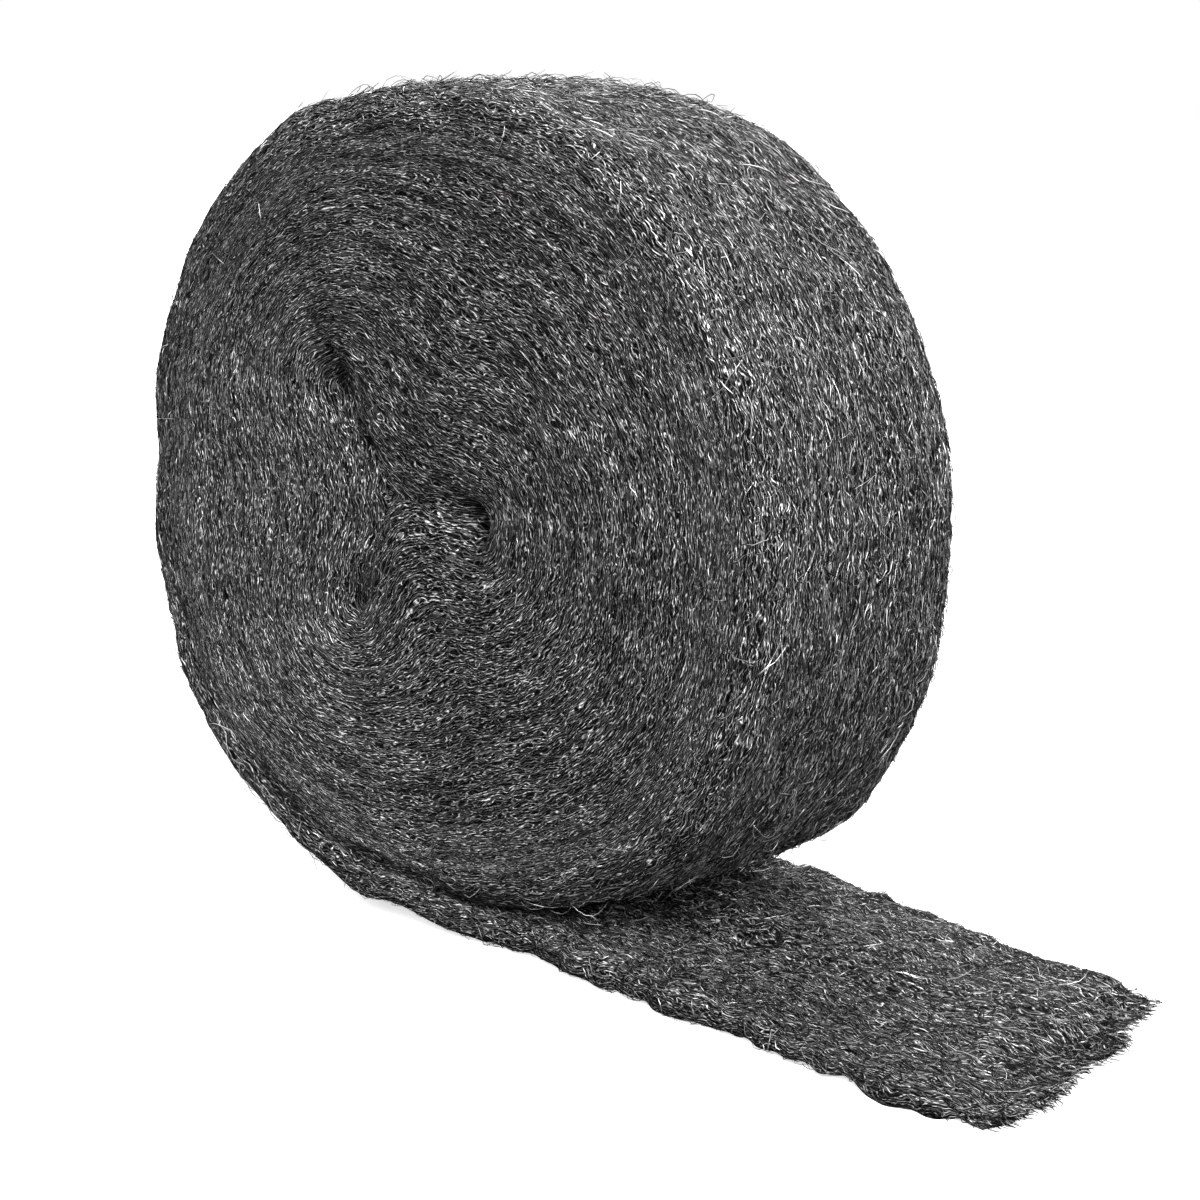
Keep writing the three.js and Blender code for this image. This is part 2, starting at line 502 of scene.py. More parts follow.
        face_edge = self.radius - self.front_rim
        on_face = 1 - smoothstep(radius, self.core_fade, face_edge)
        y = lathed_y - side * on_face * self.core_depth(x, up)
        left = bell(turned_from(angle, self.shoulder_angle), self.shoulder_spread) * (side < 0)
        rounding = smoothstep(radius, self.radius - self.shoulder_width, self.radius - 2 * self.row_margin)
        y += self.shoulder * left * rounding * (radius < self.radius - self.row_margin)
        proud = (1 - smoothstep(self.walk(angle), 0.0, self.lip_fade)) * (side < 0)
        groove = bell(radius - (self.radius - self.turn * self.groove_place), self.groove_spread)
        lip = smoothstep(radius, self.radius - self.turn, self.radius - self.turn / 2)
        y += proud * (self.lip_groove * groove - self.lip * lip)

        height = np.maximum(up + self.lean[1] * back + self.axis_height, 0.0)
        height += self.foot_curl.rise(x, lathed_y) * (1 - smoothstep(height, *self.curl_fade))
        points = np.stack([x + self.lean[0] * back, y, height], axis=1)

        level = self.level(x, up)
        face = 1 - smoothstep(radius, self.radius - self.face_fade, face_edge)
        across, coarse = self.across(ring_radius, ring_y, level, face, side)
        # Painted shade: the finish is darkened in the eyes and creases of the core and in the lip's groove.
        creased = self.shade(x, up) * on_face
        # Painted shade in the wedge under the roll, where it stands on the tail.
        wedge = smoothstep(x, *self.wedge_start) * (1 - smoothstep(x, *self.wedge_end))
        wedge = wedge * (1 - smoothstep(height, *self.wedge_top))
        shade = np.maximum(creased + self.groove_shade * proud * groove, self.wedge_shade * wedge)
        cover = np.clip(1 - self.bare_crease * creased - wedge, 0.0, 1.0) * (height > self.bare_foot)
        rim = np.where(side > 0, self.back_rim, self.front_rim)
        face_patch = np.where(side < 0, Patch.FRONT.value, Patch.BACK.value)
        surface = Surface(
            points=points,
            quads=ring_quads(rows, self.columns),
            fans=end_fans(rows, self.columns),
            flow=self.flow(x, up, angle, face),
            grain=np.stack([x, up, across - coarse], axis=1),
            scatter=self.tread_scatter + (self.face_scatter - self.tread_scatter) * face,
            cover=cover,
            shade=np.clip(shade, 0.0, 1.0),
            patch=np.where(radius > self.radius - rim - self.seam_slack, Patch.TREAD.value, face_patch),
        )
        surface.raise_by(self.relief(np.stack([x, lathed_y, up], axis=1), across, level, face, angle))
        return surface

    def across(
        self, ring_radius: Array, ring_y: Array, level: Array, face: Array, side: Array
    ) -> tuple[Array, Array]:
        """Place across the fibre, measured over the section from pole to pole and by the turns on the faces.

        Args:
            ring_radius: radius of each ring.
            ring_y: place of each ring along the axis.
            level: which turn a point belongs to, from 0 to 1.
            face: 1 on the faces, 0 on the tread.
            side: -1 at the front, 1 at the back.

        Returns:
            The place of each point, and what the finish takes off it so that the tread's fibres look coarser.
        """
        steps = np.hypot(np.diff(ring_radius, prepend=0.0), np.diff(ring_y, prepend=ring_y[0]))
        walked = np.append(np.repeat(np.cumsum(steps), self.columns), [0.0, steps.sum()])
        face_edge = self.radius - self.front_rim
        back_edge = steps.sum() - self.radius + self.back_rim
        tread_span = back_edge - face_edge
        crossed = np.clip((walked - face_edge) / tread_span, 0.0, 1.0)
        from_rim = (1 - level) * self.radius - self.front_rim
        by_turns = np.where(side < 0, face_edge, back_edge) + side * from_rim
        return walked * (1 - face) + by_turns * face, self.tread_coarse * tread_span * crossed**2

    def shade(self, x: Array, up: Array) -> Array:
        """How deep in an eye or a crease a place on a face lies, from 0 to 1: the painted shade that darkens
        the finish there.
        """
        deep = self.crease_shade * bell(self.from_each_fold(x, up).min(axis=0), self.crease_shade_spread)
        for eye in self.eyes:
            deep = np.maximum(deep, eye.hollow(x, up) * eye.depth / self.full_shade_depth)
        return np.clip(deep, 0.0, 1.0)

    def flow(self, x: Array, up: Array, angle: Array, face: Array) -> Array:
        """The way the fibre runs: along the turns on the faces and round the tread.

        Args:
            x: place along X from the axis.
            up: place above the axis.
            angle: direction round the roll.
            face: 1 on the faces, 0 on the tread.

        Returns:
            A unit vector for each point.
        """
        step = 0.4
        rise_x = self.level(x + step, up) - self.level(x - step, up)
        rise_up = self.level(x, up + step) - self.level(x, up - step)
        rise = np.maximum(np.hypot(rise_x, rise_up), NEVER_ZERO)
        run_x = rise_up / rise * face + np.cos(angle) * (1 - face)
        run_up = -rise_x / rise * face - np.sin(angle) * (1 - face)
        flow = np.stack([run_x, np.zeros_like(x), run_up], axis=1)
        return flow / np.maximum(np.linalg.norm(flow, axis=1, keepdims=True), NEVER_ZERO)

    def relief(
        self,
        place: Array,
        across: Array,
        level: Array,
        face: Array,
        angle: Array,
    ) -> Array:
        """Unevenness of the surface: soft lumps, clumps along the fibre and the edges of the turns.

        Args:
            place: the points before the core is pushed in.
            across: place across the fibre.
            level: which turn a point belongs to, from 0 to 1.
            face: 1 on the faces, 0 on the tread.
            angle: direction round the roll.

        Returns:
            How far each point is raised.
        """
        long, wide = self.clump_length, self.clump_width
        along_fibre = np.stack([place[:, 0] / long, place[:, 2] / long, across / wide], axis=1)
        lumps = sum(waves.at(place) for waves in self.lumps)
        clumps = self.clumps.at(along_fibre)
        phase = level * self.turns_shown + self.walk(angle) / TAU + self.winding_drift.at(place)
        outward = self.winding_at_core + (1 - self.winding_at_core) * level**3
        edge = np.cos(TAU * phase) * outward * (self.winding_mean + self.winding_patches.at(place))
        windings = self.winding_relief * edge * face * smoothstep(level, *self.winding_fade)
        return lumps + clumps + windings


@dataclass(frozen=True)
class LooseTail:
    """The loose end of the strip, lying out along +X, in millimetres."""

    start: float = -30.0
    front_reach: float = 120.0
    back_reach: float = 117.0
    torn_edge: tuple[Sway, ...] = (Sway(2.5, 13.0), Sway(1.5, 29.0, 1.0), Sway(0.9, 71.0, 2.0))
    worn_corner: float = 4.0
    worn_span: float = 0.14
    drift: float = -18.0
    drift_from: float = 20.0
    drift_to: float = 120.0
    width: float = 64.0
    front_sway: tuple[Sway, ...] = (Sway(0.8, 0.11), Sway(0.5, 0.27, 2.0), Sway(0.35, 0.9))
    front_swell: float = 3.0
    front_swell_place: float = 48.0
    front_swell_spread: float = 40.0
    back_out: float = 0.8
    back_slow_sway: Sway = Sway(0.8, 0.15, 4.0)
    back_quick_sway: Sway = Sway(0.4, 0.75, 1.0)
    back_narrowing: float = 1.5
    tuck_back: float = 12.0
    tuck_fade: Span = (-10.0, 5.0)
    proud: float = 1.2
    proud_fade: Span = (0.0, 20.0)
    free_fade: Span = (0.0, 30.0)
    hidden_length: float = 18.0
    hidden_inset: float = 3.0
    hidden_thinning: float = 0.8
    hidden_rise: float = 2.6
    thickness: float = 5.4
    torn_thickness: float = 3.0
    torn_thinning: float = 0.6
    torn_from: float = 0.93
    frayed_from: float = 0.965
    ripple: float = 0.4
    ripple_along: float = 0.2
    ripple_lean: float = 5.0
    ripple_across: float = 9.0
    rounding: float = 2.2
    edge_height: float = 0.15
    roll_radius: float = 76.5
    flat_drop: float = 1.6
    foot_curl: FootCurl = FootCurl()
    swing: Waves = Waves(11, 16.0, 0.45)
    grain_swing: float = 0.5
    grain_rise: float = 0.2
    middle: Span = (0.3, 0.7)
    lumps: tuple[Waves, ...] = (Waves(12, 15.0, 0.5), Waves(13, 6.0, 0.3))
    clumps: Waves = Waves(14, 1.0, 0.25, 40)
    clump_length: float = 8.0
    clump_width: float = 1.8
    scatter: float = 1.4
    bare_fade: Span = (6.0, 26.0)
    hem: float = 0.06
    # Painted shade where the tail runs in under the roll: its finish is darkened there.
    deepest_shade: float = 0.9
    shade_fade: Span = (12.0, 30.0)
    shade_span: Span = (0.1, 0.2)
    steps_along: int = 170
    steps_across: int = 58
    steps_under: int = 14

    def sideways(self, x: Array, run: Array, span: Array) -> Array:
        """Place along Y of each point, before the tail drifts to the front.

        Args:
            x: place along X.
            run: share of the way from the hidden start to the torn end.
            span: share of the way from the front edge to the back edge.

        Returns:
            The place in millimetres.
        """
        free = smoothstep(x, *self.free_fade)
        proud = self.proud * (1 - smoothstep(x, *self.proud_fade)) - self.hidden_inset * self.hidden(x)
        sway = free * sum(wave.at(x) for wave in self.front_sway)
        swell = self.front_swell * bell(x - self.front_swell_place, self.front_swell_spread)
        front_edge = -self.width / 2 - proud + sway - swell * free
        waver = self.back_out + self.back_slow_sway.at(x) - self.back_narrowing * run**4
        tuck = 1 - smoothstep(x, *self.tuck_fade)
        back_edge = self.width / 2 - self.tuck_back * tuck + free * (waver + self.back_quick_sway.at(x))
        return front_edge + (back_edge - front_edge) * span

    def hidden(self, x: Array) -> Array:
        """1 at the hidden start, which lies inside the roll, falling to 0 where the tail comes out."""
        return 1 - smoothstep(x, self.start, self.start + self.hidden_length)

    def height(
        self, x: Array, y: Array, run: Array, span: Array, top: Array
    ) -> Array:
        """Height of each point over the floor.

        Args:
            x: place along X.
            y: place along Y, before the drift.
            run: share of the way from the hidden start to the torn end.
            span: share of the way from the front edge to the back edge.
            top: 1 on the top, 0 on the underside.

        Returns:
            The height in millimetres.
        """
        hidden = self.hidden(x)
        thickness = self.thickness + (self.torn_thickness - self.thickness) * run**2
        thickness = thickness * (1 - self.torn_thinning * smoothstep(run, self.torn_from, 1.0))
        slanted = np.sin(x * self.ripple_along + span * self.ripple_lean)
        ripple = smoothstep(x, *self.free_fade) * self.ripple * slanted * np.sin(span * self.ripple_across)
        inset = np.minimum(span, 1 - span) * self.width / self.rounding
        arc = np.sqrt(np.clip(1 - np.clip(1 - inset, 0.0, 1.0) ** 2, 0.0, 1.0))
        rounded = self.edge_height + (1 - self.edge_height) * arc
        round_roll = self.roll_radius - np.sqrt(self.roll_radius**2 - np.minimum(x, 0.0) ** 2)
        raised = np.maximum(round_roll - self.flat_drop, 0.0) + self.foot_curl.rise(x, y)
        full = (thickness + ripple) * rounded * top
        return raised + full * (1 - self.hidden_thinning * hidden) + self.hidden_rise * hidden

    def surface(self) -> Surface:
        """Works out the surface of the tail: a flat tube whose ends are closed."""
        even = np.linspace(0.0, 1.0, self.steps_across)
        over = ((1 - np.cos(even * math.pi)) / 2 + even) / 2
        under = np.linspace(1.0, 0.0, self.steps_under + 2)[1:-1]
        loop_span = np.concatenate([over, under])
        loop_top = np.concatenate([np.ones_like(over), np.zeros_like(under)])
        rows, columns = self.steps_along, len(loop_span)
        run = np.append(np.repeat(np.linspace(0.0, 1.0, rows), columns), [0.0, 1.0])
        span = np.append(np.tile(loop_span, rows), [0.5, 0.5])
        top = np.append(np.tile(loop_top, rows), [0.5, 0.5])

        torn = sum(wave.at(span) for wave in self.torn_edge)
        reach = self.front_reach + (self.back_reach - self.front_reach) * span + torn * run
        reach = reach - self.worn_corner * (1 - smoothstep(span, 0.0, self.worn_span))
        x = self.start + (reach - self.start) * run
        y = self.sideways(x, run, span)
        z = self.height(x, y, run, span, top)
        place = np.stack([x, y + self.drift * smoothstep(x, self.drift_from, self.drift_to), z], axis=1)

        drift_span = self.drift_to - self.drift_from
        share = np.clip((x - self.drift_from) / drift_span, 0.0, 1.0)
        swing = self.swing.at(place) + self.drift * 6 / drift_span * share * (1 - share)
        across = span * self.width
        up_the_wall = z * (1 - 2 * smoothstep(span, *self.middle))
        # Painted shade near the roll, where the tail runs in under it; the front hem is left out.
        under_roll = (1 - smoothstep(x, *self.shade_fade)) * smoothstep(span, *self.shade_span)
        # The rings run the other way round than those of the wound turns, so their faces are turned over.
        surface = Surface(
            points=place,
            quads=ring_quads(rows, columns)[:, ::-1],
            fans=end_fans(rows, columns)[:, ::-1],
            flow=np.stack([np.cos(swing), np.sin(swing), np.zeros_like(x)], axis=1),
            grain=np.stack([x, self.grain_rise * z, across + self.grain_swing * swing + up_the_wall], axis=1),
            scatter=np.full_like(x, self.scatter),
            cover=np.where(top > 0.5, np.maximum(smoothstep(x, *self.bare_fade), span < self.hem), 0.0),
            shade=self.deepest_shade * under_roll,
            patch=np.where(run > self.frayed_from, Patch.TORN.value, Patch.TAIL.value),
        )
        along_fibre = np.stack([x / self.clump_length, across / self.clump_width], axis=1)
        relief = sum(waves.at(place) for waves in self.lumps) + self.clumps.at(along_fibre)
        surface.raise_by(relief * top * smoothstep(x, *self.free_fade))
        return surface


class Sketch:
    """Short ways to draw a node tree."""

    def __init__(self, tree: bpy.types.NodeTree) -> None:
        """Starts on an empty tree."""
        self.tree = tree

    def node(self, kind: str, inputs: dict | None = None, **settings: object) -> bpy.types.Node:
        """Adds a node.

        Args:
            kind: its Blender type name.
            inputs: what goes into its sockets, by identifier or number: a value or another node's output.
            settings: its own settings.

        Returns:
            The node.
        """
        made = self.tree.nodes.new(kind)
        for name, value in settings.items():
            setattr(made, name, value)
        sockets = {socket.identifier: socket for socket in made.inputs}
        for key, value in (inputs or {}).items():
            self.feed(made.inputs[key] if isinstance(key, int) else sockets[key], value)
        return made

    def feed(self, socket: Socket, value: object) -> None:
        """Joins an output to a socket, or sets the socket's value."""
        if isinstance(value, Socket):
            self.tree.links.new(value, socket)
        else:
            socket.default_value = value

    def math(self, operation: str, first: object, second: object = 0.0) -> Socket:
        """A sum, product or the like of two numbers."""
        return self.node("ShaderNodeMath", {0: first, 1: second}, operation=operation).outputs[0]

    def vector(self, operation: str, first: object, second: object) -> Socket:
        """A sum or the like of two vectors, or a vector scaled by a number."""
        place = 3 if operation == "SCALE" else 1
        return self.node("ShaderNodeVectorMath", {0: first, place: second}, operation=operation).outputs[0]

    def blend(self, share: object, first: object, second: object) -> Socket:
        """Goes from the first number to the second as share goes from 0 to 1."""
        rest = self.math("MULTIPLY", self.math("SUBTRACT", 1.0, share), first)
        return self.math("ADD", rest, self.math("MULTIPLY", share, second))

    def remap(
        self, value: object, source: Span = (0.0, 1.0), target: Span = (0.0, 1.0)
    ) -> Socket:
        """Goes from one end of the target to the other as value crosses the source, and stops there."""
        ends = {"From Min": source[0], "From Max": source[1], "To Min": target[0], "To Max": target[1]}
        return self.node("ShaderNodeMapRange", {"Value": value, **ends}).outputs[0]

    def attribute(self, name: str, output: str = "Fac") -> Socket:
        """An attribute of the piece, read by a material."""
        return self.node("ShaderNodeAttribute", attribute_name=name).outputs[output]

    def noise(self, place: object, scale: float, detail: float, output: str = "Fac") -> Socket:
        """A noise pattern's strength or colour."""
        inputs = {"Vector": place, "Scale": scale, "Detail": detail, "Roughness": 0.5}
        return self.node("ShaderNodeTexNoise", inputs).outputs[output]

    def shaken(self, place: object, by: object, scale: float, detail: float, reach: object) -> Socket:
        """Moves a place to and fro.

        Args:
            place: the place that is moved.
            by: the place that the noise is read at.
            scale: waves of the noise to a metre.
            detail: octaves of the noise.
            reach: how far the place would move if the noise went from end to end.

        Returns:
            The moved place.
        """
        drift = self.vector("SUBTRACT", self.noise(by, scale, detail, "Color"), (0.5, 0.5, 0.5))
        return self.vector("ADD", place, self.vector("SCALE", drift, reach))


def plain_material(name: str) -> tuple[bpy.types.Material, bpy.types.Node]:
    """Makes a material, and gives its one shader with it."""
    made = bpy.data.materials.new(name)
    made.use_nodes = True
    return made, made.node_tree.nodes["Principled BSDF"]


@dataclass(frozen=True)
class StrandFinish:
    """The finish of one kind of bare steel strand; the kinds are copies of the same steel, painted with more
    or less light.

    Attributes:
        name: the material's name.
        grey: how light the steel is painted, standing in for how much light the strand catches.
        roughness: how dull it is.
        coolness: its blue as a share of its grey.
    """

    name: str
    grey: float
    roughness: float
    coolness: float = 1.01

    def material(self) -> bpy.types.Material:
        """Makes the material, or finds it again."""
        found = bpy.data.materials.get(self.name)
        if found:
            return found
        made, shader = plain_material(self.name)
        shader.inputs["Base Color"].default_value = (self.grey, self.grey, self.grey * self.coolness, 1.0)
        shader.inputs["Roughness"].default_value = self.roughness
        shader.inputs["Metallic"].default_value = 1.0
        return made


class Tone(Enum):
    """The tones that strands come in: painted light, as lit, half-lit and shaded copies of the same steel, so
    that glints and shade come and go along the strands.
    """

    BRIGHT = StrandFinish("bright_steel_strand", 1.0, 0.4)
    MIDDLE = StrandFinish("grey_steel_strand", 0.3, 0.4)
    DARK = StrandFinish("dark_steel_strand", 0.01, 0.6)


@dataclass(frozen=True)
class FibreLayer:
    """One layer of fine fibres in the matted finish. Lengths are in millimetres.

    Attributes:
        along: how far a fibre runs before it sways.
        across: how far apart the fibres lie.
        thick: half their thickness, as a share of how far apart they lie.
        tone: how light they are.
        dull: their lightness away from a painted glint, as a share of the tone.
        fineness: how finely their direction wavers, in waves to a metre.
        reach: how far they waver.
        offset: tells the layer's pattern from the others'.
    """

    along: float
    across: float
    thick: float
    tone: float
    dull: float
    fineness: float
    reach: float
    offset: float


@dataclass(frozen=True)
class MattedSteel:
    """The finish of the matted body under the strands.

    Layers of fine steel fibres lie over dark gaps, painted as the shade between them, with short painted
    glints on them, and longer streaks of light and dark run along the turns.

    Attributes:
        gap: how light the gaps are: painted shade between the fibres.
        layers: the fibres, the lightest first.
        bend_detail: octaves in the noise that bends the fibres.
        sway: how many fibres' distances a fibre sways over.
        sway_pace: how fast the sway changes from fibre to fibre.
        core: share of a fibre's thickness that is at its full height.
        spot_scale: how closely painted glints follow each other along the fibre, twice, and across it.
        glint: the noise at which a painted glint begins and is full.
        least_height: height of the darkest fibre, as a share of the lightest one's.
        streak_bend_scale: waves to a metre in the noise that bends the streaks.
        streak_bend: how far they bend from side to side, in millimetres.
        streak_scale: how closely streaks follow each other along the fibre, twice, and across it.
        streak_detail: octaves in their noise.
        streak: the noise at which a streak is darkest and lightest.
        streak_light: how far it takes down or raises the light.
        painted_crease_shade: how much darker the finish is painted in the deepest shade of a crease, an eye,
            a groove or the wedge under the roll.
        roughness: of a gap and of a bright fibre.
        bump: height of the fibres, in millimetres.
        metal: how metallic the whole looks.
        specular: its mirror-like light where it isn't metallic.
    """

    name: str = "matted_steel"
    gap: float = 0.003
    layers: tuple[FibreLayer, ...] = (
        FibreLayer(4.0, 0.66, 0.14, 1.0, 0.15, 220.0, 0.7, 0.0),
        FibreLayer(3.2, 0.56, 0.16, 0.26, 0.5, 260.0, 0.7, 37.0),
        FibreLayer(2.6, 0.5, 0.16, 0.08, 0.5, 300.0, 0.6, 71.0),
    )
    bend_detail: float = 2.0
    sway: float = 5.0
    sway_pace: float = 0.4
    core: float = 0.3
    spot_scale: Triple = (1.0, 1.0, 5.5)
    glint: Span = (0.5, 0.62)
    least_height: float = 0.3
    streak_bend_scale: float = 45.0
    streak_bend: float = 2.4
    streak_scale: Triple = (0.07, 0.07, 1.1)
    streak_detail: float = 2.5
    streak: Span = (0.32, 0.68)
    streak_light: Span = (0.5, 1.4)
    painted_crease_shade: float = 0.9
    roughness: Span = (0.9, 0.65)
    bump: float = 0.025
    metal: float = 0.8
    specular: float = 0.1

    def fibres(self, draw: Sketch, layer: FibreLayer, place: object) -> tuple[object, object]:
        """Draws one layer.

        Args:
            draw: the tree to draw in.
            layer: the layer's sizes.
            place: place in the part's frame.

        Returns:
            The fibres' height and their lightness, from 0 to 1.
        """
        shifted = draw.vector("ADD", place, (layer.offset, 0.0, 0.0))
        reach = draw.math("MULTIPLY", draw.attribute("scatter"), 2 * layer.reach)
        grain = draw.attribute("grain", "Vector")
        bent = draw.shaken(grain, shifted, layer.fineness, self.bend_detail, reach)
        along = 1 / layer.along
        run = draw.vector("MULTIPLY", bent, (along, along, self.sway_pace / layer.across))
        run = draw.vector("ADD", run, (layer.offset, 0.0, layer.offset))
        sway = draw.math("MULTIPLY", draw.noise(run, 1.0, 1.0), self.sway)
        count = draw.math("DIVIDE", draw.node("ShaderNodeSeparateXYZ", {0: bent}).outputs[2], layer.across)
        phase = draw.math("FRACT", draw.math("ADD", count, sway))
        off = draw.math("ABSOLUTE", draw.math("SUBTRACT", phase, 0.5))
        line = draw.remap(off, (self.core * layer.thick, layer.thick), (1.0, 0.0))
        # Painted glints: short stretches of each fibre are painted lighter, up to the layer's full tone.
        spots = draw.noise(draw.vector("MULTIPLY", bent, self.spot_scale), 1.0, 1.0)
        glint = draw.remap(spots, self.glint, (layer.dull, 1.0))
        light = draw.math("MULTIPLY", draw.math("MULTIPLY", line, glint), layer.tone)
        full = self.least_height + (1 - self.least_height) * layer.tone
        return draw.math("MULTIPLY", line, full), light

    def streaks(self, draw: Sketch, place: object) -> Socket:
        """Draws the streaks, as a number to multiply the light with."""
        grain = draw.attribute("grain", "Vector")
        wound = draw.shaken(grain, place, self.streak_bend_scale, 1.0, self.streak_bend)
        run = draw.vector("MULTIPLY", wound, self.streak_scale)
        return draw.remap(draw.noise(run, 1.0, self.streak_detail), self.streak, self.streak_light)

    def material(self) -> bpy.types.Material:
        """Makes the material."""
        made, shader = plain_material(self.name)
        draw = Sketch(made.node_tree)
        place = draw.node("ShaderNodeTexCoord").outputs["Object"]
        # The gaps start nearly black: painted shade between the fibres.
        height, light = 0.0, self.gap
        for layer in self.layers:
            line_height, line_light = self.fibres(draw, layer, place)
            height = draw.math("MAXIMUM", line_height, height)
            light = draw.math("MAXIMUM", line_light, light)
        streaked = draw.math("MULTIPLY", light, self.streaks(draw, place))
        # Painted shade: the shade attribute darkens the colour in creases, hollows and under the roll.
        dark = draw.math("MULTIPLY", draw.attribute("shade"), self.painted_crease_shade)
        grey = draw.math("MULTIPLY", streaked, draw.math("SUBTRACT", 1.0, dark))
        colour = draw.node("ShaderNodeCombineColor", {"Red": grey, "Green": grey, "Blue": grey}).outputs[0]
        bump = draw.node("ShaderNodeBump", {"Height": height, "Strength": 1.0, "Distance": self.bump * MM})
        draw.feed(shader.inputs["Base Color"], colour)
        draw.feed(shader.inputs["Roughness"], draw.remap(light, target=self.roughness))
        draw.feed(shader.inputs["Normal"], bump.outputs["Normal"])
        shader.inputs["Metallic"].default_value = self.metal
        shader.inputs["Specular IOR Level"].default_value = self.specular
        return made


class Draw(IntEnum):
    """What tells one random draw of a strand from another. Those that lean to the middle take two numbers."""

    SWERVE = 1
    CURL = 3
    LENGTH = 5
    LOOSE = 7
    LIFT = 8
    GIRTH = 9
    TONE = 10


class StrandTree:
    """The Geometry Nodes that grow strands on a surface, along its flow attribute.

    Points are scattered on one patch. Each point becomes a row of knots, which walk one by one along the
    flow, and the row is made a thin closed tube.
    """

    NAME = "grow_strands"
    PATCH_SLACK = 0.3
    LENGTH_RANGE = (0.6, 1.4)
    GIRTH_RANGE = (0.3, 0.7)
    LIFT_POWER = 1.6
    LOWEST = (-1.0, -1.0, 0.1 * MM)
    END_SLIMNESS = 0.6
    SIDES = 3
    MOST_KNOTS = 16.0
    TONE_CHANGE = 0.35
    NUMBERS = ("Density", "Patch", "Length", "Width", "Swerve", "Curl", "Jitter", "Lift", "Sink", "Hug",
               "Loose Share", "Bright Share", "Middle Share")
    COUNTS = ("Steps", "Seed")
    # The three materials are painted light: lit, half-lit and shaded copies of the same steel.
    FINISHES = ("Bright", "Middle", "Dark")

    def __init__(self) -> None:
        """Builds the tree."""
        self.tree = bpy.data.node_groups.new(self.NAME, "GeometryNodeTree")
        face = self.tree.interface
        face.new_socket("Surface", in_out="INPUT", socket_type="NodeSocketGeometry")
        for names, kind in ((self.NUMBERS, "Float"), (self.COUNTS, "Int"), (self.FINISHES, "Material")):
            for name in names:
                face.new_socket(name, in_out="INPUT", socket_type=f"NodeSocket{kind}")
        face.new_socket("Strands", in_out="OUTPUT", socket_type="NodeSocketGeometry")
        self.draw = Sketch(self.tree)
        self.given = {socket.name: socket for socket in self.draw.node("NodeGroupInput").outputs}
        knots = self.walked(self.scattered())
        self.finished(self.tubes(knots))

    def socket_id(self, name: str) -> str:
        """The identifier of a named input."""
        return next(item.identifier for item in self.tree.interface.items_tree if item.name == name)

    def named(self, name: str, kind: str = "FLOAT") -> Socket:
        """The values of a named attribute."""
        return self.draw.node("GeometryNodeInputNamedAttribute", {0: name}, data_type=kind).outputs[0]

    def store(self, geometry: object, name: str, value: object, kind: str = "FLOAT") -> Socket:
        """Keeps a value on each point under a name."""
        return self.draw.node(
            "GeometryNodeStoreNamedAttribute",
            {"Geometry": geometry, "Name": name, "Value": value},
            data_type=kind,
            domain="POINT",
        ).outputs[0]

    def chance(self, offset: int, low: float = 0.0, high: float = 1.0) -> Socket:
        """A number drawn for each strand.

        Args:
            offset: tells one draw from another.
            low: its least value.
            high: its greatest value.

        Returns:
            The number's socket.
        """
        seed = self.draw.math("ADD", self.given["Seed"], float(offset))
        return self.random(low, high, self.named("strand", "INT"), seed)

    def random(self, low: float, high: float, number: object, seed: object) -> Socket:
        """A number between low and high for each different number and seed."""
        return self.draw.node(
            "FunctionNodeRandomValue",
            {"Min_001": low, "Max_001": high, "ID": number, "Seed": seed},
            data_type="FLOAT",
        ).outputs[1]

    def either_way(self, offset: int) -> Socket:
        """A number from -1 to 1 for each strand, more often near 0 than far from it."""
        return self.draw.math("ADD", self.chance(offset, -0.5, 0.5), self.chance(offset + 1, -0.5, 0.5))

    def scattered(self) -> Socket:
        """Scatters the strands' roots and makes each a row of knots at one place."""
        draw = self.draw
        same = draw.node(
            "FunctionNodeCompare",
            {"A": self.named("patch"), "B": self.given["Patch"], "Epsilon": self.PATCH_SLACK},
            data_type="FLOAT",
            operation="EQUAL",
        ).outputs[0]
        roots = draw.node(
            "GeometryNodeDistributePointsOnFaces",
            {
                "Mesh": self.given["Surface"],
                "Selection": same,
                "Density": draw.math("MULTIPLY", self.given["Density"], self.named("cover")),
                "Seed": self.given["Seed"],
            },
            distribute_method="RANDOM",
        ).outputs["Points"]
        numbered = self.store(roots, "strand", draw.node("GeometryNodeInputIndex").outputs[0], "INT")
        row = draw.node(
            "GeometryNodeDuplicateElements",
            {"Geometry": numbered, "Amount": draw.math("ADD", self.given["Steps"], 1.0)},
            domain="POINT",
        )
        return self.store(row.outputs["Geometry"], "knot", row.outputs["Duplicate Index"], "INT")

    def sampled(self, value: object) -> Socket:
        """A vector of the surface, taken where it is nearest to the point."""
        return self.draw.node(
            "GeometryNodeSampleNearestSurface",
            {"Mesh": self.given["Surface"], "Value": value},
            data_type="FLOAT_VECTOR",
        ).outputs[0]

